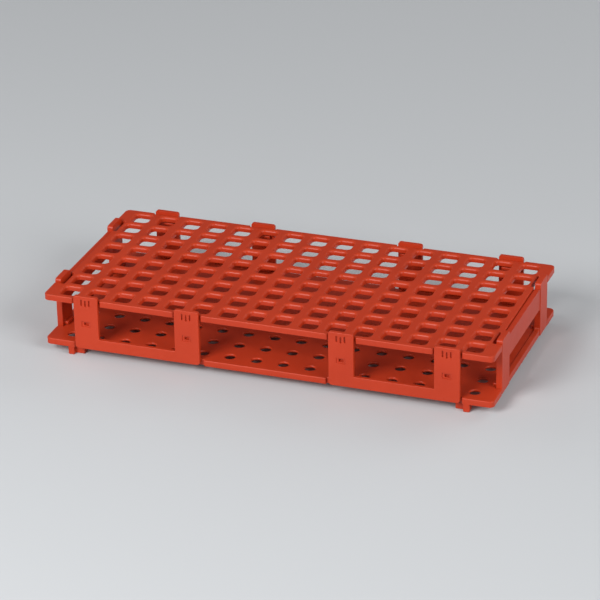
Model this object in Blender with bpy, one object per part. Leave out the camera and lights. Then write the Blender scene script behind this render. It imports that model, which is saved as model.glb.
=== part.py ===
"""Microtube rack for 128 tubes: two perforated plates, two end plates and four side clips.

The plates lie level, one above the other. The end plates and the U-shaped side clips are pushed
into open notches in the plates' edges from outside, and shelves on their inner faces carry the
top plate and hold the bottom plate down. Metres, +Z up, +X along the length and -Y to the front.
The origin is at the middle of the feet's underside.
"""

import math

import bmesh
import bpy

# overall size, over the end plates, over the clips and from the feet to the clips' tops
RACK_LENGTH = 0.265
RACK_WIDTH = 0.126
RACK_HEIGHT = 0.038
FIT_GAP = 0.0003

# tube places
COLUMNS = 16
ROWS = 8
PITCH_X = 0.0159
PITCH_Y = 0.0150
TUBE_HOLE = 0.0110
TUBE_HOLE_CORNER = 0.0034
TIP_HOLE_RADIUS = 0.0034
TIP_HOLE_SIDES = 8

# plates
PLATE_LENGTH = 0.265
PLATE_WIDTH = 0.1236
PLATE_CORNER = 0.0030
PLATE_HEIGHT = 0.0036
WEB = 0.0020
SKIRT = 0.0018
TOP_PLATE_TOP = 0.0358
BOTTOM_PLATE_TOP = 0.0084
CORNER_STEPS = 4

# feet, L-shaped, one arm along Y and one along X
FOOT_OUTER_X = 0.1188
FOOT_WALL = 0.0036
FOOT_Y_ARM = 0.0056
FOOT_X_ARM = 0.0088
FOOT_X_ARM_SETBACK = 0.0028

# side clips
CLIP_WALL = 0.0024
LEG_WIDTH = 0.0146
OUTER_LEG_X = 0.10635
INNER_LEG_X = 0.0455
LEG_SIDE_GAP = 0.0008
CLIP_INNER_END_GAP = 0.0020
CLIP_BOTTOM = 0.0054
CLIP_BAR_TOP = 0.0121
CLIP_FOOT_CORNER = 0.0018
CLIP_TOP_CORNER = 0.0014
GROOVE_SPACING = 0.00235
GROOVE_WIDTH = 0.0010
GROOVE_HEIGHT = 0.0038
GROOVE_DEPTH = 0.0008
GROOVE_TOP = 0.0360
MIDDLE_GROOVE_DROP = 0.0005
PANEL_WIDTH = 0.0054
PANEL_HEIGHT = 0.0034
PANEL_DEPTH = 0.0004
PANEL_Z = 0.0210
POCKET_WIDTH = 0.0028
POCKET_HEIGHT = 0.0019
POCKET_DEPTH = 0.0014

# end plates
END_WALL = 0.0035
END_WIDTH = 0.0900
END_BOTTOM = 0.0051
END_TOP = 0.0348
TAB_WIDTH = 0.0140
TAB_CORNER = 0.0016
TAB_SLOT_DEPTH = 0.0020
TAB_SLOT_INNER_GAP = 0.0005
RAIL_SETBACK = 0.0004
WINDOW_WIDTH = 0.0620
WINDOW_BOTTOM = 0.0090
WINDOW_TOP = 0.0218
WINDOW_CORNER = 0.0016

# shelves inside the clips and the end plates
SHELF_HEIGHT = 0.0017
SHELF_REACH = 0.0024
CLIP_SHELF_WIDTH = 0.0100
RAIL_SHELF_WIDTH = 0.0500
POST_SHELF_WIDTH = 0.0100

PLASTIC = (0.58, 0.045, 0.018, 1.0)
PLASTIC_ROUGHNESS = 0.35
CUT_OVERRUN = 0.001
SMOOTH_TURNS = (math.radians(2), math.radians(46))

# places that follow from the sizes above
CLIP_OUTER_Y = RACK_WIDTH / 2
CLIP_INNER_Y = CLIP_OUTER_Y - CLIP_WALL
NOTCH_Y = CLIP_INNER_Y - FIT_GAP
END_OUTER_X = RACK_LENGTH / 2
END_INNER_X = END_OUTER_X - END_WALL
PLATE_END_X = END_INNER_X - FIT_GAP
END_NOTCH_Y = END_WIDTH / 2 + FIT_GAP
TAB_INNER_Y = END_WIDTH / 2 - TAB_WIDTH
UPPER_SHELF_TOP = TOP_PLATE_TOP - PLATE_HEIGHT - FIT_GAP
LOWER_SHELF_BOTTOM = BOTTOM_PLATE_TOP + FIT_GAP


def clear_scene():
    for thing in list(bpy.data.objects):
        bpy.data.objects.remove(thing, do_unlink=True)


def plastic(name):
    material = bpy.data.materials.new(name)
    material.use_nodes = True
    shader = material.node_tree.nodes["Principled BSDF"]
    shader.inputs["Base Color"].default_value = PLASTIC
    shader.inputs["Roughness"].default_value = PLASTIC_ROUGHNESS
    shader.inputs["Metallic"].default_value = 0.0
    return material


def smooth_round_faces(bm):
    """Shades the faces of round edges and bores smooth and leaves flat faces flat."""
    for edge in bm.edges:
        if SMOOTH_TURNS[0] < abs(edge.calc_face_angle(0.0)) < SMOOTH_TURNS[1]:
            for face in edge.link_faces:
                face.smooth = True


def finish(name, bm):
    """Closes a bmesh into a named object with its own material."""
    bmesh.ops.recalc_face_normals(bm, faces=bm.faces)
    smooth_round_faces(bm)
    mesh = bpy.data.meshes.new(name)
    bm.to_mesh(mesh)
    bm.free()
    thing = bpy.data.objects.new(name, mesh)
    bpy.context.collection.objects.link(thing)
    mesh.materials.append(plastic(name))
    mesh.set_sharp_from_angle(angle=SMOOTH_TURNS[1])
    return thing


def arc(centre, radius, start, end, steps):
    """Points on an arc, angles in degrees."""
    angles = [math.radians(start + (end - start) * i / steps) for i in range(steps + 1)]
    return [(centre[0] + radius * math.cos(a), centre[1] + radius * math.sin(a)) for a in angles]


def rounded_rectangle(low, high, radius, steps):
    """A counter-clockwise outline, from the low corner."""
    corners = [(low[0], low[1], 1, 1, 180), (high[0], low[1], -1, 1, 270)]
    corners += [(high[0], high[1], -1, -1, 0), (low[0], high[1], 1, -1, 90)]
    points = []
    for x, y, in_x, in_y, start in corners:
        centre = (x + in_x * radius, y + in_y * radius)
        points += arc(centre, radius, start, start + 90, steps)
    return points


def rectangle(low, high):
    return [(low[0], low[1]), (high[0], low[1]), (high[0], high[1]), (low[0], high[1])]


def four_fold(quarter):
    """A whole outline from its front right quarter, which runs from the front to the right."""
    back_right = [(x, -y) for x, y in reversed(quarter)]
    back_left = [(-x, -y) for x, y in quarter]
    front_left = [(-x, y) for x, y in reversed(quarter)]
    return quarter + back_right + back_left + front_left


def side_notches(spans, inset):
    """The notches in a plate's front edge, from the middle outwards."""
    front = -PLATE_WIDTH / 2 + inset
    back = -NOTCH_Y + inset
    points = []
    for start, end in spans:
        points += [(start - inset, front), (start - inset, back)]
        points += [(end + inset, back), (end + inset, front)]
    return points


def plate_corner(inset):
    centre = (PLATE_LENGTH / 2 - PLATE_CORNER, -PLATE_WIDTH / 2 + PLATE_CORNER)
    return arc(centre, PLATE_CORNER - inset, -90, 0, CORNER_STEPS)


def top_outline(inset=0.0):
    """The top plate's outline: a notch for each clip leg, and one at each end with two slots."""
    half = LEG_WIDTH / 2 + LEG_SIDE_GAP
    spans = [(x - half, x + half) for x in (INNER_LEG_X, OUTER_LEG_X)]
    slot_x = PLATE_END_X - TAB_SLOT_DEPTH - inset
    slot_y = TAB_INNER_Y - TAB_SLOT_INNER_GAP - inset
    quarter = side_notches(spans, inset) + plate_corner(inset)
    quarter += [(PLATE_LENGTH / 2 - inset, -END_NOTCH_Y - inset), (slot_x, -END_NOTCH_Y - inset)]
    quarter += [(slot_x, -slot_y), (PLATE_END_X - inset, -slot_y)]
    return four_fold(quarter)


def bottom_outline(inset=0.0):
    """The bottom plate's outline: one long notch for each clip, and one at each end."""
    start = INNER_LEG_X - LEG_WIDTH / 2 - CLIP_INNER_END_GAP
    end = OUTER_LEG_X + LEG_WIDTH / 2 + LEG_SIDE_GAP
    quarter = side_notches([(start, end)], inset) + plate_corner(inset)
    quarter += [(PLATE_LENGTH / 2 - inset, -END_NOTCH_Y - inset)]
    quarter += [(PLATE_END_X - inset, -END_NOTCH_Y - inset)]
    return four_fold(quarter)


def tube_hole(x, y):
    half = TUBE_HOLE / 2
    return rounded_rectangle((x - half, y - half), (x + half, y + half), TUBE_HOLE_CORNER, 1)


def tip_hole(x, y):
    turn = 360 / TIP_HOLE_SIDES
    return arc((x, y), TIP_HOLE_RADIUS, turn / 2, 360 - turn / 2, TIP_HOLE_SIDES - 1)


def places():
    """The middle of each tube place, row by row."""
    for row in range(ROWS):
        for column in range(COLUMNS):
            yield (column - (COLUMNS - 1) / 2) * PITCH_X, (row - (ROWS - 1) / 2) * PITCH_Y


def ring(bm, points, z):
    return [bm.verts.new((x, y, z)) for x, y in points]


def wall(bm, first, second):
    """Quads between two rings with the same number of points."""
    count = len(first)
    for i in range(count):
        j = (i + 1) % count
        bm.faces.new((first[i], first[j], second[j], second[i]))


def cap(bm, rings):
    """Fills a level face whose edges are the first ring, with the other rings as holes."""
    edges = []
    for loop in rings:
        pairs = zip(loop, loop[1:] + loop[:1])
        edges += [bm.edges.get(pair) or bm.edges.new(pair) for pair in pairs]
    bmesh.ops.triangle_fill(bm, edges=edges, use_beauty=True, normal=(0, 0, 1))


def plate(name, outline, hole, top):
    """A perforated sheet with a skirt turned down along its whole edge."""
    bm = bmesh.new()
    underside = top - WEB
    rim = top - PLATE_HEIGHT
    upper = ring(bm, outline(), top)
    lower = ring(bm, outline(), rim)
    inner_lower = ring(bm, outline(SKIRT), rim)
    inner_upper = ring(bm, outline(SKIRT), underside)
    wall(bm, upper, lower)
    wall(bm, lower, inner_lower)
    wall(bm, inner_lower, inner_upper)
    upper_rings = [upper]
    under_rings = [inner_upper]
    for x, y in places():
        upper_rings.append(ring(bm, hole(x, y), top))
        under_rings.append(ring(bm, hole(x, y), underside))
        wall(bm, upper_rings[-1], under_rings[-1])
    cap(bm, upper_rings)
    cap(bm, under_rings)
    return finish(name, bm)


def upright(u, v, w):
    return u, v, w


def prism(name, points, low, high, place):
    """An outline extruded from low to high; place turns (u, v, depth) into (x, y, z)."""
    bm = bmesh.new()
    near = [bm.verts.new(place(u, v, low)) for u, v in points]
    far = [bm.verts.new(place(u, v, high)) for u, v in points]
    bm.faces.new(near)
    bm.faces.new(far[::-1])
    wall(bm, near, far)
    return finish(name, bm)


def block(name, low, high):
    """A box between two corners, given in any order."""
    return prism(name, rectangle(low, high), low[2], high[2], upright)


def combine(body, operation, tools):
    """Adds or cuts tools, which stay in the file as hidden wires."""
    for tool in tools:
        tool.hide_render = True
        tool.display_type = "WIRE"
        modifier = body.modifiers.new(tool.name, "BOOLEAN")
        modifier.operation = operation
        modifier.solver = "EXACT"
        modifier.object = tool


def foot(name, side_x, side_y):
    """An L under one corner of the bottom plate, just outside a clip."""
    front = PLATE_WIDTH / 2
    inner_x = FOOT_OUTER_X - FOOT_WALL
    arm_front = front - FOOT_X_ARM_SETBACK
    arm_back = arm_front - FOOT_WALL
    arm_end = FOOT_OUTER_X - FOOT_X_ARM
    corners = [(FOOT_OUTER_X, front), (inner_x, front), (inner_x, arm_front), (arm_end, arm_front)]
    corners += [(arm_end, arm_back), (inner_x, arm_back), (inner_x, front - FOOT_Y_ARM)]
    corners += [(FOOT_OUTER_X, front - FOOT_Y_ARM)]
    points = [(side_x * x, side_y * y) for x, y in corners]
    top = BOTTOM_PLATE_TOP - WEB / 2
    return prism(name, points, 0.0, top, upright)


def make_bottom_plate():
    body = plate("bottom_plate", bottom_outline, tip_hole, BOTTOM_PLATE_TOP)
    feet = [foot(f"foot_{i}_{j}", i, j) for i in (-1, 1) for j in (-1, 1)]
    combine(body, "UNION", feet)


def clip_outline(side_x):
    """A U seen from the front: two legs and the bar that joins them at the bottom."""
    half = LEG_WIDTH / 2
    inner = (INNER_LEG_X - half, INNER_LEG_X + half)
    outer = (OUTER_LEG_X - half, OUTER_LEG_X + half)
    foot_r = CLIP_FOOT_CORNER
    top_r = CLIP_TOP_CORNER
    points = arc((inner[0] + foot_r, CLIP_BOTTOM + foot_r), foot_r, 180, 270, 3)
    points += arc((outer[1] - foot_r, CLIP_BOTTOM + foot_r), foot_r, 270, 360, 3)
    points += arc((outer[1] - top_r, RACK_HEIGHT - top_r), top_r, 0, 90, 2)
    points += arc((outer[0] + top_r, RACK_HEIGHT - top_r), top_r, 90, 180, 2)
    points += [(outer[0], CLIP_BAR_TOP), (inner[1], CLIP_BAR_TOP)]
    points += arc((inner[1] - top_r, RACK_HEIGHT - top_r), top_r, 0, 90, 2)
    points += arc((inner[0] + top_r, RACK_HEIGHT - top_r), top_r, 90, 180, 2)
    return [(side_x * x, z) for x, z in points]


def across_front(side_y):
    """Turns (x, z, distance from the middle) into a place on the front or the rear."""
    return lambda u, v, w: (u, side_y * w, v)


def clip_block(name, centre, size, depths, side_y):
    """A block on a clip: its middle and size as seen from the front, and its two depths."""
    low = (centre[0] - size[0] / 2, side_y * depths[0], centre[1] - size[1] / 2)
    high = (centre[0] + size[0] / 2, side_y * depths[1], centre[1] + size[1] / 2)
    return block(name, low, high)


def clip_shelves(name, x, side_y):
    """A shelf under the top plate and one over the bottom plate, inside one leg."""
    depths = (CLIP_INNER_Y - SHELF_REACH, CLIP_INNER_Y + CLIP_WALL / 2)
    size = (CLIP_SHELF_WIDTH, SHELF_HEIGHT)
    upper = UPPER_SHELF_TOP - SHELF_HEIGHT / 2
    lower = LOWER_SHELF_BOTTOM + SHELF_HEIGHT / 2
    return [clip_block(f"{name}_{z:.4f}", (x, z), size, depths, side_y) for z in (upper, lower)]


def clip_marks(name, x, side_y):
    """Three finger grooves near a leg's top, and a latch panel with a pocket at half height."""
    beyond = CLIP_OUTER_Y + CUT_OVERRUN
    cuts = []
    for i in (-1, 0, 1):
        top = GROOVE_TOP - (MIDDLE_GROOVE_DROP if i == 0 else 0.0)
        centre = (x + i * GROOVE_SPACING, top - GROOVE_HEIGHT / 2)
        depths = (CLIP_OUTER_Y - GROOVE_DEPTH, beyond)
        size = (GROOVE_WIDTH, GROOVE_HEIGHT)
        cuts.append(clip_block(f"{name}_groove_{i}", centre, size, depths, side_y))
    panel = (PANEL_WIDTH, PANEL_HEIGHT)
    depths = (CLIP_OUTER_Y - PANEL_DEPTH, beyond)
    cuts.append(clip_block(f"{name}_panel", (x, PANEL_Z), panel, depths, side_y))
    pocket = (POCKET_WIDTH, POCKET_HEIGHT)
    depths = (CLIP_OUTER_Y - POCKET_DEPTH, beyond)
    cuts.append(clip_block(f"{name}_pocket", (x, PANEL_Z), pocket, depths, side_y))
    return cuts


def make_side_clip(name, side_x, side_y):
    outline = clip_outline(side_x)
    body = prism(name, outline, CLIP_INNER_Y, CLIP_OUTER_Y, across_front(side_y))
    for label, leg_x in (("inner", INNER_LEG_X), ("outer", OUTER_LEG_X)):
        x = side_x * leg_x
        combine(body, "UNION", clip_shelves(f"{name}_{label}_shelf", x, side_y))
        combine(body, "DIFFERENCE", clip_marks(f"{name}_{label}", x, side_y))


def end_outline():
    """An end plate seen from its end: a panel with a tab at each side of its top."""
    half = END_WIDTH / 2
    points = [(-half, END_BOTTOM), (half, END_BOTTOM)]
    points += [(half, RACK_HEIGHT - TAB_CORNER), (half - TAB_CORNER, RACK_HEIGHT)]
    points += [(TAB_INNER_Y + TAB_CORNER, RACK_HEIGHT), (TAB_INNER_Y, RACK_HEIGHT - TAB_CORNER)]
    points += [(TAB_INNER_Y, END_TOP), (-TAB_INNER_Y, END_TOP)]
    points += [(-TAB_INNER_Y, RACK_HEIGHT - TAB_CORNER), (-TAB_INNER_Y - TAB_CORNER, RACK_HEIGHT)]
    points += [(-half + TAB_CORNER, RACK_HEIGHT), (-half, RACK_HEIGHT - TAB_CORNER)]
    return points


def across_end(side_x):
    """Turns (y, z, distance from the middle) into a place on the right or the left end."""
    return lambda u, v, w: (side_x * w, u, v)


def end_shelves(name, side_x):
    """A shelf inside the upper rail, under the top plate, and one inside each post's foot."""
    x = (side_x * (END_INNER_X - SHELF_REACH), side_x * (END_INNER_X + END_WALL / 2))
    post = END_WIDTH / 2 - TAB_WIDTH / 2
    half = POST_SHELF_WIDTH / 2
    spans = [(-RAIL_SHELF_WIDTH / 2, RAIL_SHELF_WIDTH / 2, UPPER_SHELF_TOP - SHELF_HEIGHT)]
    spans += [(y - half, y + half, LOWER_SHELF_BOTTOM) for y in (-post, post)]
    shelves = []
    for i, (start, end, z) in enumerate(spans):
        shelves.append(block(f"{name}_{i}", (x[0], start, z), (x[1], end, z + SHELF_HEIGHT)))
    return shelves


def make_end_plate(name, side_x):
    """Two posts with tabs, and between them two rails that are set back from the outer face."""
    place = across_end(side_x)
    body = prism(name, end_outline(), END_INNER_X, END_OUTER_X, place)
    combine(body, "UNION", end_shelves(f"{name}_shelf", side_x))
    half = WINDOW_WIDTH / 2
    opening = rounded_rectangle((-half, WINDOW_BOTTOM), (half, WINDOW_TOP), WINDOW_CORNER, 2)
    beyond = END_OUTER_X + CUT_OVERRUN
    window = prism(f"{name}_window", opening, END_INNER_X - CUT_OVERRUN, beyond, place)
    sunk = rectangle((-TAB_INNER_Y, 0.0), (TAB_INNER_Y, END_TOP + CUT_OVERRUN))
    setback = prism(f"{name}_setback", sunk, END_OUTER_X - RAIL_SETBACK, beyond, place)
    combine(body, "DIFFERENCE", [window, setback])


def main():
    clear_scene()
    plate("top_plate", top_outline, tube_hole, TOP_PLATE_TOP)
    make_bottom_plate()
    for side, side_x in (("left", -1), ("right", 1)):
        make_end_plate(f"end_plate_{side}", side_x)
        make_side_clip(f"side_clip_front_{side}", side_x, -1)
        make_side_clip(f"side_clip_rear_{side}", side_x, 1)


main()
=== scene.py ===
"""Looks of a microtube rack for 128 tubes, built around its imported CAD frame.

Every moulding of the rack gets a finer mesh in place of its CAD node, inside that node's box:
rounded edges, collars under the tube holes, countersunk tip holes and moulded marks.
The frame is in metres, +Z up, +X along the rack's length and -Y to the front. The mouldings'
own sizes below are in millimetres, and a corner is given as its radius and its steps.
"""

import math

import bmesh
import bpy
from mathutils import Matrix, Vector


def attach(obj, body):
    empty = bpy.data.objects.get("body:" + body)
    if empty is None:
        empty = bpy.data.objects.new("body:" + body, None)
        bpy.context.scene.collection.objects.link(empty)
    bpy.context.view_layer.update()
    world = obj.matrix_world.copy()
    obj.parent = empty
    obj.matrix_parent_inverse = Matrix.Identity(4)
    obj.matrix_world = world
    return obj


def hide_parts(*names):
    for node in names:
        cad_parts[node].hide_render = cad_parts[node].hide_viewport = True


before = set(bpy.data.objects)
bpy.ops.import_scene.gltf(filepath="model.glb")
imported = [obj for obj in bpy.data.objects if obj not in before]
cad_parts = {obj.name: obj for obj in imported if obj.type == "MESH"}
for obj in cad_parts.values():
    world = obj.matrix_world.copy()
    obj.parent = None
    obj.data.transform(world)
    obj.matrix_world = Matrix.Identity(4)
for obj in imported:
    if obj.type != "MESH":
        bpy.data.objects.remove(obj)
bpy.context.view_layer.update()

MM = 0.001
FIT_GAP = 0.3
OFF_PLANE = 0.05  # keeps faces of two joined bodies out of one plane
SHARPEST = 0.02  # the smallest radius that a rounded corner shrinks to

# tube places
COLUMNS = 16
ROWS = 8
PITCH_X = 15.9
PITCH_Y = 15.0
TUBE_HOLE_X = 10.2
TUBE_HOLE_Y = 10.8
TUBE_HOLE_CORNER = (2.4, 6)
TUBE_HOLE_ROUND = 1.45
COLLAR_HEIGHT = 3.2
COLLAR_WALL = 0.8
TIP_HOLE_RADIUS = 3.0
TIP_HOLE_SIDES = 28

# end plates
END_OUTER_X = 132.5
END_INNER_X = END_OUTER_X - 3.5
RAIL_OUTER_X = END_OUTER_X - 0.4
RAIL_BACK_X = END_INNER_X + OFF_PLANE
END_HALF = 45.0
POST_Y = END_HALF - 14.0
RAIL_END_Y = POST_Y + 0.6
END_BOTTOM = 5.1
END_TOP = 34.8
WINDOW_BOTTOM = 9.0
WINDOW_TOP = 21.8
WINDOW_CORNER = 1.6
POST_FOOT_CORNER = (0.6, 3)
TAB_CORNER = (1.6, 5)
FLARE = (WINDOW_CORNER - OFF_PLANE, 4)
FLARE_TIP = (0.05, 1)
RAIL_END_CORNER = (0.1, 1)
POST_ROUND = 0.35
RAIL_ROUND = 0.3

# side clips
INNER_LEG_X = 45.5
OUTER_LEG_X = 106.35
LEG_HALF = 7.3
LEG_SIDE_GAP = 0.8
CLIP_INNER_END_GAP = 2.0
CLIP_OUTER_Y = 63.0
CLIP_INNER_Y = CLIP_OUTER_Y - 2.4
CLIP_BOTTOM = 5.4
CLIP_BAR_TOP = 12.1
RACK_TOP = 38.0
CLIP_FOOT_CORNER = (1.8, 5)
CLIP_TOP_CORNER = (1.4, 5)
CLIP_BAR_CORNER = (0.5, 3)
CLIP_ROUND = 0.3
BACK_ROUND = 0.2

# marks on the clips' legs
GROOVE_X = (-2.35, 0.0, 2.35)
GROOVE_HALF = 0.5
GROOVE_HEIGHT = 3.8
GROOVE_DEPTH = 0.8
GROOVE_TOP = 36.0
MIDDLE_GROOVE_TOP = 35.5
GROOVE_CORNER = (0.45, 3)
PANEL_Z = 21.0
PANEL_HALVES = (2.7, 1.7)
PANEL_DEPTH = 0.45
PANEL_CORNER = (0.3, 3)
POCKET_HALVES = (1.4, 0.95)
POCKET_DEPTH = 1.4
POCKET_CORNER = (0.25, 3)
MARK_ROUND = 0.12

# plates
PLATE_X = 132.5
PLATE_Y = 61.8
NOTCH_Y = CLIP_INNER_Y - FIT_GAP
PLATE_END_X = END_INNER_X - FIT_GAP
TAB_SLOT_X = PLATE_END_X - 2.0
TAB_SLOT_Y = POST_Y - 0.5
END_NOTCH_Y = END_HALF + FIT_GAP
TOP_PLATE_TOP = 35.8
BOTTOM_PLATE_TOP = 8.4
PLATE_HEIGHT = 3.6
WEB = 2.0
SKIRT = 1.2
PLATE_CORNER = (3.0, 10)
NOTCH_MOUTH = (0.7, 3)
NOTCH_BACK = (0.4, 2)
TONGUE_CORNER = (0.5, 3)
PLATE_ROUND = 0.45
RIM_ROUND = 0.25
RIM_BEVEL = 0.2

# feet
FOOT_OUTER_X = 118.8
FOOT_WALL = 3.6
FOOT_Y_ARM = 5.6
FOOT_X_ARM = 8.8
FOOT_SETBACK = 2.8
FOOT_CORNER = (0.5, 3)
FOOT_ELBOW = (0.3, 2)
FOOT_STEP = (0.2, 2)
FOOT_ROUND = 0.5

# shelves inside the clips and the end plates
SHELF_HEIGHT = 1.7
SHELF_REACH = 2.4
UPPER_SHELF_Z = TOP_PLATE_TOP - PLATE_HEIGHT - FIT_GAP - SHELF_HEIGHT
LOWER_SHELF_Z = BOTTOM_PLATE_TOP + FIT_GAP
SHORT_SHELF_HALF = 5.0
RAIL_SHELF_HALF = 25.0
SHELF_CORNER = (0.35, 3)
SHELF_ROUND = 0.3

# a tip hole's wall, with a countersunk mouth, a short throat and a flare below:
# (inset, depth under the plate's face, share of the paler edge colour: wear and painted edge
# highlight)
TIP_HOLE_WALL = (
    (-0.50, 0.0, 0.4),
    (-0.36, 0.05, 0.7),
    (-0.10, 0.32, 0.5),
    (0.0, 0.60, 0.1),
    (0.0, 1.05, 0.0),
    (-0.90, WEB - 0.05, 0.0),
    (-1.0, WEB, 0.0),
)

# plastic: colours, and noises as (scale, detail, roughness)
RED_DARK = (0.42, 0.030, 0.0065, 1.0)
RED_LIGHT = (0.48, 0.037, 0.009, 1.0)
RED_DEEP = (0.37, 0.024, 0.006, 1.0)
# paler orange for rounded edges and hole mouths: partly slight wear, partly a painted edge
# highlight
RED_WORN_HIGHLIGHT = (0.58, 0.075, 0.028, 1.0)
PATTERN_SHIFT = (0.37, 0.11, 0.23)
CLOUDS = (28.0, 3.0, 0.55)
FLOW = (60.0, 2.0, 0.5)
FLOW_STRETCH = (0.25, 1.0, 1.0)
GRAIN = (2600.0, 2.0, 0.6)
SPECKLE = (900.0, 3.0, 0.65)
WAVES = (110.0, 1.0, 0.5)
FLOW_SHARE = 0.3
# how much of the paler edge colour (wear and painted edge highlight) is mixed in
WEAR_AND_HIGHLIGHT_SHARE = 0.5
ROUGHNESS = 0.30
SHARP_ANGLE = math.radians(38)

# studio: lamps as (name, azimuth, elevation, distance, size, power, glossy)
LAMPS = (
    ("key", -22, 34, 1.6, 0.7, 22.5, True),
    ("fill", 66, 28, 2.2, 1.2, 30.0, True),
    ("rear_right", 150, 25, 2.2, 1.4, 13.0, False),
    ("rear_left", 250, 25, 2.2, 1.4, 10.0, False),
)
FLOOR_HALF = 6.0
FLOOR_COLOUR = (0.56, 0.575, 0.59, 1.0)
FLOOR_ROUGHNESS = 0.7
WORLD_COLOUR = (0.93, 0.96, 1.0, 1.0)
WORLD_STRENGTH = 0.13
CAMERA_AZIMUTH = math.radians(-20.24)
CAMERA_ELEVATION = math.radians(25.53)
CAMERA_ROLL = math.radians(-1.17)
CAMERA_PLACE = (0.5602, -1.5215, 0.7973)
CAMERA_LENS = 189.2


# ---------------------------------------------------------------- outlines


def unit(dx, dy):
    length = math.hypot(dx, dy)
    return dx / length, dy / length


def offset_round(corners, inset):
    """A closed counter-clockwise outline, moved inwards by inset, with its corners rounded.

    corners holds (x, y, radius, steps). The number of points doesn't depend on inset.
    """
    points = []
    for i, (x, y, radius, steps) in enumerate(corners):
        before = corners[i - 1]
        after = corners[(i + 1) % len(corners)]
        d1 = unit(x - before[0], y - before[1])
        d2 = unit(after[0] - x, after[1] - y)
        n1 = (-d1[1], d1[0])
        n2 = (-d2[1], d2[0])
        spread = 1.0 + n1[0] * n2[0] + n1[1] * n2[1]
        to_inside = ((n1[0] + n2[0]) / spread, (n1[1] + n2[1]) / spread)
        side = 1.0 if d1[0] * d2[1] > d1[1] * d2[0] else -1.0
        r = max(radius - side * inset, SHARPEST)
        cx = x + (inset + side * r) * to_inside[0]
        cy = y + (inset + side * r) * to_inside[1]
        start = math.atan2(-side * n1[1], -side * n1[0])
        end = math.atan2(-side * n2[1], -side * n2[0])
        turn = (end - start + math.pi) % (2 * math.pi) - math.pi
        for k in range(steps + 1):
            a = start + turn * k / steps
            points.append((cx + r * math.cos(a), cy + r * math.sin(a)))
    return points


def outline(corners):
    return lambda inset: offset_round(corners, inset)


def rectangle(x0, y0, x1, y1, corner):
    corners = [(x0, y0), (x1, y0), (x1, y1), (x0, y1)]
    return outline([(x, y, *corner) for x, y in corners])


def centred(x, y, halves, corner):
    return rectangle(x - halves[0], y - halves[1], x + halves[0], y + halves[1], corner)


def circle(x, y, radius, count):
    turn = 2 * math.pi / count
    angles = [turn * (k + 0.5) for k in range(count)]
    return lambda inset: [
        (x + (radius - inset) * math.cos(a), y + (radius - inset) * math.sin(a)) for a in angles
    ]


def four_fold(quarter):
    """A whole outline from its front right quarter, which runs from the front to the right."""
    back_right = [(x, -y, *rest) for x, y, *rest in reversed(quarter)]
    back_left = [(-x, -y, *rest) for x, y, *rest in quarter]
    front_left = [(-x, y, *rest) for x, y, *rest in reversed(quarter)]
    return outline(quarter + back_right + back_left + front_left)


def notch(start, end):
    """A notch in a plate's front edge."""
    front = [(start, -PLATE_Y, *NOTCH_MOUTH), (start, -NOTCH_Y, *NOTCH_BACK)]
    return front + [(end, -NOTCH_Y, *NOTCH_BACK), (end, -PLATE_Y, *NOTCH_MOUTH)]


def top_outline():
    half = LEG_HALF + LEG_SIDE_GAP
    quarter = notch(INNER_LEG_X - half, INNER_LEG_X + half)
    quarter += notch(OUTER_LEG_X - half, OUTER_LEG_X + half)
    quarter += [
        (PLATE_X, -PLATE_Y, *PLATE_CORNER),
        (PLATE_X, -END_NOTCH_Y, *NOTCH_MOUTH),
        (TAB_SLOT_X, -END_NOTCH_Y, *NOTCH_BACK),
        (TAB_SLOT_X, -TAB_SLOT_Y, *NOTCH_BACK),
        (PLATE_END_X, -TAB_SLOT_Y, *TONGUE_CORNER),
    ]
    return four_fold(quarter)


def bottom_outline():
    start = INNER_LEG_X - LEG_HALF - CLIP_INNER_END_GAP
    quarter = notch(start, OUTER_LEG_X + LEG_HALF + LEG_SIDE_GAP)
    quarter += [
        (PLATE_X, -PLATE_Y, *PLATE_CORNER),
        (PLATE_X, -END_NOTCH_Y, *NOTCH_MOUTH),
        (PLATE_END_X, -END_NOTCH_Y, *NOTCH_BACK),
    ]
    return four_fold(quarter)


def places():
    for row in range(ROWS):
        for column in range(COLUMNS):
            yield (column - (COLUMNS - 1) / 2) * PITCH_X, (row - (ROWS - 1) / 2) * PITCH_Y


# ------------------------------------------------- profiles of (inset, height, wear and painted highlight)


def over_edge(radius, inset, height, steps, wear_and_highlight=1.0):
    """From a face at this height, round a convex edge, to a wall at this inset below it."""
    made = []
    for k in range(steps + 1):
        a = math.pi / 2 * k / steps
        # rounded edges get the paler colour, which is partly wear and partly a painted highlight;
        # their ends get less of it
        worn_and_highlit = wear_and_highlight if 0 < k < steps else wear_and_highlight * 0.4
        made.append((inset + radius * (1 - math.sin(a)), height - radius * (1 - math.cos(a)), worn_and_highlit))
    return made


def under_edge(radius, inset, height, steps, wear_and_highlight=0.4):
    """From a wall at this inset, round its lower edge, to the face below it at this height."""
    mirrored = over_edge(radius, inset, -height, steps, wear_and_highlight)
    return [(i, -h, w) for i, h, w in reversed(mirrored)]


def free_edge(thickness, end, root):
    """Round the lower edge of a turned-down wall, and up its other side to its root."""
    bevel = [(thickness - RIM_BEVEL, end, 0.1), (thickness, end + RIM_BEVEL, 0.0)]
    return under_edge(RIM_ROUND, 0.0, end, 2) + bevel + [(thickness, root, 0.0)]


def outwards(profile):
    """The same profile for a hole, whose outline grows where a piece's outline shrinks."""
    return [(-inset, height, wear_and_highlight) for inset, height, wear_and_highlight in profile]


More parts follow.
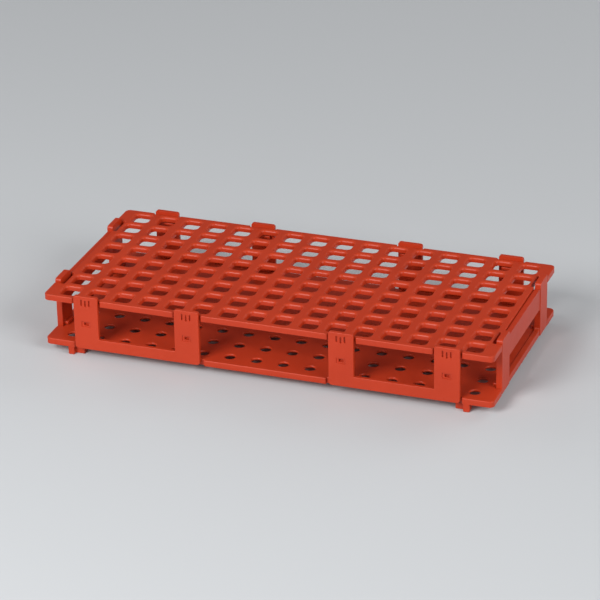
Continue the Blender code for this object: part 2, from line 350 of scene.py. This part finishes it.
class Shell:
    """One closed moulding, made of rings of points that are joined by quads."""

    def __init__(self, at):
        self.bm = bmesh.new()
        # per-point share of the paler edge colour, which paints both wear and an edge highlight
        self.wear_and_highlight = self.bm.verts.layers.float.new("wear_and_highlight")
        self.at = at

    def ring(self, points, height, wear_and_highlight):
        made = []
        for x, y in points:
            vert = self.bm.verts.new(self.at(x * MM, y * MM, height * MM))
            vert[self.wear_and_highlight] = wear_and_highlight
            made.append(vert)
        return made

    def sweep(self, shape, profile):
        """Joins a shape's rings along a profile, and returns the first and the last."""
        rings = [self.ring(shape(inset), height, wear_and_highlight) for inset, height, wear_and_highlight in profile]
        for first, second in zip(rings, rings[1:]):
            for i in range(len(first)):
                j = (i + 1) % len(first)
                self.bm.faces.new((first[i], first[j], second[j], second[i]))
        return rings[0], rings[-1]

    def fill(self, rings):
        """Closes a flat face; the first ring is its edge and the others are holes in it."""
        edges = []
        for loop in rings:
            pairs = zip(loop, loop[1:] + loop[:1])
            edges += [self.bm.edges.get(pair) or self.bm.edges.new(pair) for pair in pairs]
        edge = rings[0]
        a, b, c = (edge[len(edge) * k // 3].co for k in range(3))
        normal = (b - a).cross(c - a).normalized()
        bmesh.ops.triangle_fill(self.bm, edges=edges, use_beauty=True, normal=normal)

    def object(self, name):
        bmesh.ops.recalc_face_normals(self.bm, faces=self.bm.faces)
        mesh = bpy.data.meshes.new(name)
        self.bm.to_mesh(mesh)
        self.bm.free()
        made = bpy.data.objects.new(name, mesh)
        bpy.context.collection.objects.link(made)
        return made


def slab(at, shape, profile):
    """A closed moulding without holes."""
    shell = Shell(at)
    first, last = shell.sweep(shape, profile)
    shell.fill([first])
    shell.fill([last])
    return shell


def united(name, bodies):
    """One mesh of overlapping closed bodies, which are removed."""
    first = bodies[0]
    for other in bodies[1:]:
        joint = first.modifiers.new("join", "BOOLEAN")
        joint.operation = "UNION"
        joint.solver = "EXACT"
        joint.object = other
    graph = bpy.context.evaluated_depsgraph_get()
    mesh = bpy.data.meshes.new_from_object(first.evaluated_get(graph))
    for body in bodies:
        bpy.data.objects.remove(body)
    made = bpy.data.objects.new(name, mesh)
    bpy.context.collection.objects.link(made)
    return made


def place(piece, body, node, material):
    """Shades a finished piece and puts it in the frame in its CAD node's place."""
    mesh = piece.data
    mesh.shade_smooth()
    mesh.set_sharp_from_angle(angle=SHARP_ANGLE)
    mesh.materials.clear()
    mesh.materials.append(material)
    weighted = piece.modifiers.new("even_normals", "WEIGHTED_NORMAL")
    weighted.keep_sharp = True
    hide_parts(node)
    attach(piece, body)


# ---------------------------------------------------------------- material


def plastic(name):
    """Satin moulded polypropylene: faint flow marks, fine grain, and paler, more orange rounded
    edges that are partly slight wear and partly a painted edge highlight.
    """
    material = bpy.data.materials.new(name)
    material.use_nodes = True
    nodes = material.node_tree.nodes
    link = material.node_tree.links.new
    shader = nodes["Principled BSDF"]

    where = nodes.new("ShaderNodeTexCoord")
    shift = nodes.new("ShaderNodeMapping")
    shift.inputs["Location"].default_value = PATTERN_SHIFT
    link(where.outputs["Object"], shift.inputs["Vector"])

    def noise(scale, detail, roughness, stretch=(1.0, 1.0, 1.0)):
        longer = nodes.new("ShaderNodeMapping")
        longer.inputs["Scale"].default_value = stretch
        link(shift.outputs["Vector"], longer.inputs["Vector"])
        made = nodes.new("ShaderNodeTexNoise")
        made.inputs["Scale"].default_value = scale
        made.inputs["Detail"].default_value = detail
        made.inputs["Roughness"].default_value = roughness
        link(longer.outputs["Vector"], made.inputs["Vector"])
        return made.outputs["Fac"]

    def feed(socket, value):
        if isinstance(value, (float, tuple)):
            socket.default_value = value
        else:
            link(value, socket)

    def mix(fac, a, b):
        made = nodes.new("ShaderNodeMix")
        made.data_type = "RGBA"
        feed(made.inputs[0], fac)
        feed(made.inputs[6], a)
        feed(made.inputs[7], b)
        return made.outputs[2]

    def calculate(operation, a, b=0.0, c=0.0):
        made = nodes.new("ShaderNodeMath")
        made.operation = operation
        for socket, value in zip(made.inputs, (a, b, c)):
            feed(socket, value)
        return made.outputs[0]

    def bump(height, strength, distance, normal=None):
        made = nodes.new("ShaderNodeBump")
        made.inputs["Strength"].default_value = strength
        made.inputs["Distance"].default_value = distance
        link(height, made.inputs["Height"])
        if normal:
            link(normal, made.inputs["Normal"])
        return made.outputs["Normal"]

    clouds = noise(*CLOUDS)
    speckle = noise(*SPECKLE)
    spread = nodes.new("ShaderNodeMapRange")
    spread.inputs["From Min"].default_value = 0.3
    spread.inputs["From Max"].default_value = 0.7
    link(clouds, spread.inputs["Value"])
    colour = mix(spread.outputs["Result"], RED_DARK, RED_LIGHT)
    flow = noise(*FLOW, FLOW_STRETCH)
    colour = mix(calculate("MULTIPLY", flow, FLOW_SHARE), colour, RED_DEEP)
    # paler colour on rounded edges, in patches: partly rubbed wear, partly a painted edge highlight
    worn_and_highlit = nodes.new("ShaderNodeAttribute")
    worn_and_highlit.attribute_name = "wear_and_highlight"
    patchy = calculate("MULTIPLY", worn_and_highlit.outputs["Fac"], speckle)
    colour = mix(calculate("MULTIPLY", patchy, WEAR_AND_HIGHLIGHT_SHARE), colour, RED_WORN_HIGHLIGHT)
    link(colour, shader.inputs["Base Color"])

    rough = calculate("MULTIPLY_ADD", clouds, 0.10, ROUGHNESS)
    rough = calculate("MULTIPLY_ADD", speckle, 0.08, rough)
    link(rough, shader.inputs["Roughness"])

    normal = bump(noise(*GRAIN), 0.35, 0.00003)
    normal = bump(noise(*WAVES), 0.25, 0.0004, normal)
    link(normal, shader.inputs["Normal"])
    shader.inputs["IOR"].default_value = 1.49
    shader.inputs["Specular IOR Level"].default_value = 0.3
    return material


# ---------------------------------------------------------------- plates


def level(u, v, w):
    return Vector((u, v, w))


def plate_shell(shape, top, hole_shape, hole_profile):
    """A perforated sheet with a skirt turned down along its whole edge."""
    shell = Shell(level)
    profile = over_edge(PLATE_ROUND, 0.0, top, 4)
    profile += free_edge(SKIRT, top - PLATE_HEIGHT, top - WEB)
    first, last = shell.sweep(shape, profile)
    upper = [first]
    lower = [last]
    for x, y in places():
        first, last = shell.sweep(hole_shape(x, y), hole_profile)
        upper.append(first)
        lower.append(last)
    shell.fill(upper)
    shell.fill(lower)
    return shell


def tube_hole(x, y):
    return centred(x, y, (TUBE_HOLE_X / 2, TUBE_HOLE_Y / 2), TUBE_HOLE_CORNER)


def make_top_plate():
    top = TOP_PLATE_TOP
    profile = over_edge(TUBE_HOLE_ROUND, 0.0, top, 5)
    profile += free_edge(COLLAR_WALL, top - COLLAR_HEIGHT, top - WEB)
    shell = plate_shell(top_outline(), top, tube_hole, outwards(profile))
    place(shell.object("top_plate_moulding"), "top", "top_plate", RED)


def tip_hole(x, y):
    return circle(x, y, TIP_HOLE_RADIUS, TIP_HOLE_SIDES)


def foot(side_x, side_y):
    """An L under one corner of the bottom plate, just outside a clip."""
    front = PLATE_Y - OFF_PLANE
    inner_x = FOOT_OUTER_X - FOOT_WALL
    arm_end = FOOT_OUTER_X - FOOT_X_ARM
    arm_front = PLATE_Y - FOOT_SETBACK
    arm_back = arm_front - FOOT_WALL
    y_arm_end = PLATE_Y - FOOT_Y_ARM
    corners = [
        (FOOT_OUTER_X, front, *FOOT_CORNER),
        (inner_x, front, *FOOT_CORNER),
        (inner_x, arm_front, *FOOT_ELBOW),
        (arm_end, arm_front, *FOOT_CORNER),
        (arm_end, arm_back, *FOOT_CORNER),
        (inner_x, arm_back, *FOOT_STEP),
        (inner_x, y_arm_end, *FOOT_STEP),
        (FOOT_OUTER_X, y_arm_end, *FOOT_CORNER),
    ]
    root = BOTTOM_PLATE_TOP - WEB / 2
    profile = [(0.0, root, 0.0)] + under_edge(FOOT_ROUND, 0.0, 0.0, 3, 1.0)

    def at(u, v, w):
        return Vector((side_x * u, side_y * v, w))

    return slab(at, outline(corners), profile).object("foot")


def make_bottom_plate():
    top = BOTTOM_PLATE_TOP
    profile = [(inset, top - depth, wear_and_highlight) for inset, depth, wear_and_highlight in TIP_HOLE_WALL]
    plate = plate_shell(bottom_outline(), top, tip_hole, profile).object("bottom_plate_web")
    feet = [foot(i, j) for i in (-1, 1) for j in (-1, 1)]
    piece = united("bottom_plate_moulding", [plate] + feet)
    place(piece, "base", "bottom_plate", RED)


# ---------------------------------------------------------------- side clips


def clip_shape():
    """A U seen from the front: two legs and the bar that joins them at the bottom."""
    inner = (INNER_LEG_X - LEG_HALF, INNER_LEG_X + LEG_HALF)
    outer = (OUTER_LEG_X - LEG_HALF, OUTER_LEG_X + LEG_HALF)
    return outline(
        [
            (inner[0], CLIP_BOTTOM, *CLIP_FOOT_CORNER),
            (outer[1], CLIP_BOTTOM, *CLIP_FOOT_CORNER),
            (outer[1], RACK_TOP, *CLIP_TOP_CORNER),
            (outer[0], RACK_TOP, *CLIP_TOP_CORNER),
            (outer[0], CLIP_BAR_TOP, *CLIP_BAR_CORNER),
            (inner[1], CLIP_BAR_TOP, *CLIP_BAR_CORNER),
            (inner[1], RACK_TOP, *CLIP_TOP_CORNER),
            (inner[0], RACK_TOP, *CLIP_TOP_CORNER),
        ]
    )


def sunk(shell, shape, surface, depth):
    """The walls of a sunk mark; returns the rings at the surface and at its floor."""
    profile = outwards(over_edge(MARK_ROUND, 0.0, surface, 2, 0.8))
    return shell.sweep(shape, profile + [(0.0, surface - depth, 0.0)])


def groove(shell, x, top):
    """A finger groove; returns its rim."""
    low = top - GROOVE_HEIGHT
    shape = rectangle(x - GROOVE_HALF, low, x + GROOVE_HALF, top, GROOVE_CORNER)
    rim, floor = sunk(shell, shape, CLIP_OUTER_Y, GROOVE_DEPTH)
    shell.fill([floor])
    return rim


def latch(shell, x):
    """A sunk panel with a pocket in it; returns the panel's rim."""
    shape = centred(x, PANEL_Z, PANEL_HALVES, PANEL_CORNER)
    rim, panel = sunk(shell, shape, CLIP_OUTER_Y, PANEL_DEPTH)
    shape = centred(x, PANEL_Z, POCKET_HALVES, POCKET_CORNER)
    pocket_rim, floor = sunk(shell, shape, CLIP_OUTER_Y - PANEL_DEPTH, POCKET_DEPTH)
    shell.fill([panel, pocket_rim])
    shell.fill([floor])
    return rim


def shelf(shell, x, low, half, surface, end):
    """A shelf on an inner face, from its surface inwards to its end; returns its root."""
    shape = rectangle(x - half, low, x + half, low + SHELF_HEIGHT, SHELF_CORNER)
    root = [(-RIM_BEVEL, surface, 0.0), (0.0, surface - RIM_BEVEL, 0.0)]
    first, last = shell.sweep(shape, root + under_edge(SHELF_ROUND, 0.0, end, 3))
    shell.fill([last])
    return first


def make_side_clip(name, side_x, side_y, body):
    def at(u, v, w):
        return Vector((side_x * u, side_y * w, v))

    shell = Shell(at)
    profile = over_edge(CLIP_ROUND, 0.0, CLIP_OUTER_Y, 3)
    profile += under_edge(BACK_ROUND, 0.0, CLIP_INNER_Y, 2)
    first, last = shell.sweep(clip_shape(), profile)
    front = [first]
    back = [last]
    shelf_end = CLIP_INNER_Y - SHELF_REACH
    for x in (INNER_LEG_X, OUTER_LEG_X):
        for dx in GROOVE_X:
            front.append(groove(shell, x + dx, GROOVE_TOP if dx else MIDDLE_GROOVE_TOP))
        front.append(latch(shell, x))
        for low in (UPPER_SHELF_Z, LOWER_SHELF_Z):
            back.append(shelf(shell, x, low, SHORT_SHELF_HALF, CLIP_INNER_Y, shelf_end))
    shell.fill(front)
    shell.fill(back)
    place(shell.object(f"{name}_moulding"), body, name, RED)


# ---------------------------------------------------------------- end plates


def post(at, side):
    """An upright with a tab at its top and a shelf over the bottom plate's edge inside."""
    shell = Shell(at)
    start, end = sorted((side * POST_Y, side * END_HALF))
    shape = outline(
        [
            (start, END_BOTTOM, *POST_FOOT_CORNER),
            (end, END_BOTTOM, *POST_FOOT_CORNER),
            (end, RACK_TOP, *TAB_CORNER),
            (start, RACK_TOP, *TAB_CORNER),
        ]
    )
    profile = over_edge(POST_ROUND, 0.0, END_OUTER_X, 3)
    profile += under_edge(BACK_ROUND, 0.0, END_INNER_X, 2)
    first, last = shell.sweep(shape, profile)
    shell.fill([first])
    middle = (start + end) / 2
    shelf_end = END_INNER_X - SHELF_REACH
    root = shelf(shell, middle, LOWER_SHELF_Z, SHORT_SHELF_HALF, END_INNER_X, shelf_end)
    shell.fill([last, root])
    return shell.object("post")


def flared_edge(edge, tip):
    """A rail's edge along the window, from -Y to +Y, with its flares' tips inside the posts."""
    neck = POST_Y + OFF_PLANE
    half = [(neck, edge, *FLARE), (neck, tip, *FLARE_TIP), (RAIL_END_Y, tip, *RAIL_END_CORNER)]
    return [(-x, z, *corner) for x, z, *corner in reversed(half)] + half


def rail(at, corners):
    """A rail between the posts, open at its back; returns its shell and its back's ring."""
    shell = Shell(at)
    profile = over_edge(RAIL_ROUND, 0.0, RAIL_OUTER_X, 3)
    profile += under_edge(BACK_ROUND, 0.0, RAIL_BACK_X, 2)
    first, last = shell.sweep(outline(corners), profile)
    shell.fill([first])
    return shell, last


def upper_rail(at):
    """The rail over the window, with a shelf under the top plate's edge inside."""
    corners = flared_edge(WINDOW_TOP, WINDOW_TOP - WINDOW_CORNER)
    corners += [(y, END_TOP, *RAIL_END_CORNER) for y in (RAIL_END_Y, -RAIL_END_Y)]
    shell, back = rail(at, corners)
    shelf_end = END_INNER_X - SHELF_REACH
    root = shelf(shell, 0.0, UPPER_SHELF_Z, RAIL_SHELF_HALF, RAIL_BACK_X, shelf_end)
    shell.fill([back, root])
    return shell.object("upper_rail")


def lower_rail(at):
    low = END_BOTTOM + OFF_PLANE
    corners = [(y, low, *RAIL_END_CORNER) for y in (-RAIL_END_Y, RAIL_END_Y)]
    corners += reversed(flared_edge(WINDOW_BOTTOM, WINDOW_BOTTOM + WINDOW_CORNER))
    shell, back = rail(at, corners)
    shell.fill([back])
    return shell.object("lower_rail")


def make_end_plate(name, side_x, body):
    def at(u, v, w):
        return Vector((side_x * w, u, v))

    bodies = [post(at, -1), post(at, 1), upper_rail(at), lower_rail(at)]
    place(united(f"{name}_moulding", bodies), body, name, RED)


# ---------------------------------------------------------------- floor, lights and camera


def make_floor():
    bm = bmesh.new()
    bmesh.ops.create_grid(bm, x_segments=8, y_segments=8, size=FLOOR_HALF)
    mesh = bpy.data.meshes.new("floor")
    bm.to_mesh(mesh)
    bm.free()
    floor = bpy.data.objects.new("floor", mesh)
    bpy.context.collection.objects.link(floor)
    material = bpy.data.materials.new("floor")
    material.use_nodes = True
    shader = material.node_tree.nodes["Principled BSDF"]
    shader.inputs["Base Color"].default_value = FLOOR_COLOUR
    shader.inputs["Roughness"].default_value = FLOOR_ROUGHNESS
    mesh.materials.append(material)


def area_light(name, azimuth, elevation, distance, size, power, glossy):
    """A square lamp that looks at the rack; azimuth 0 is the front and 90 the right end.

    A lamp that isn't glossy lights the rack without showing in its sheen.
    """
    a = math.radians(azimuth)
    e = math.radians(elevation)
    away = Vector((math.sin(a) * math.cos(e), -math.cos(a) * math.cos(e), math.sin(e)))
    data = bpy.data.lights.new(name, "AREA")
    data.shape = "SQUARE"
    data.size = size
    data.energy = power
    lamp = bpy.data.objects.new(name, data)
    bpy.context.collection.objects.link(lamp)
    lamp.location = away * distance
    lamp.rotation_mode = "QUATERNION"
    lamp.rotation_quaternion = away.to_track_quat("Z", "Y")
    lamp.visible_glossy = glossy


def make_world():
    world = bpy.data.worlds.new("studio")
    world.use_nodes = True
    background = world.node_tree.nodes["Background"]
    background.inputs["Color"].default_value = WORLD_COLOUR
    background.inputs["Strength"].default_value = WORLD_STRENGTH
    bpy.context.scene.world = world


def make_camera():
    """A long lens, a little to the right of the front, looking down with a slight roll."""
    flat = math.cos(CAMERA_ELEVATION)
    forward = Vector(
        (
            math.sin(CAMERA_AZIMUTH) * flat,
            math.cos(CAMERA_AZIMUTH) * flat,
            -math.sin(CAMERA_ELEVATION),
        )
    )
    level_right = forward.cross(Vector((0, 0, 1))).normalized()
    level_up = level_right.cross(forward)
    right = math.cos(CAMERA_ROLL) * level_right + math.sin(CAMERA_ROLL) * level_up
    up = math.cos(CAMERA_ROLL) * level_up - math.sin(CAMERA_ROLL) * level_right
    data = bpy.data.cameras.new("camera")
    data.lens = CAMERA_LENS
    data.sensor_width = 36.0
    data.clip_start = 0.05
    data.clip_end = 50.0
    camera = bpy.data.objects.new("camera", data)
    bpy.context.collection.objects.link(camera)
    turn = Matrix((right, up, -forward)).transposed().to_4x4()
    camera.matrix_world = Matrix.Translation(CAMERA_PLACE) @ turn
    bpy.context.scene.camera = camera


RED = plastic("red_polypropylene")
make_top_plate()
make_bottom_plate()
for side, side_x in (("left", -1), ("right", 1)):
    make_end_plate(f"end_plate_{side}", side_x, f"end_{side}")
    for end, side_y in (("front", -1), ("rear", 1)):
        make_side_clip(f"side_clip_{end}_{side}", side_x, side_y, f"clip_{end}_{side}")
make_floor()
make_world()
for lamp in LAMPS:
    area_light(*lamp)
make_camera()
bpy.context.scene.view_settings.view_transform = "Standard"
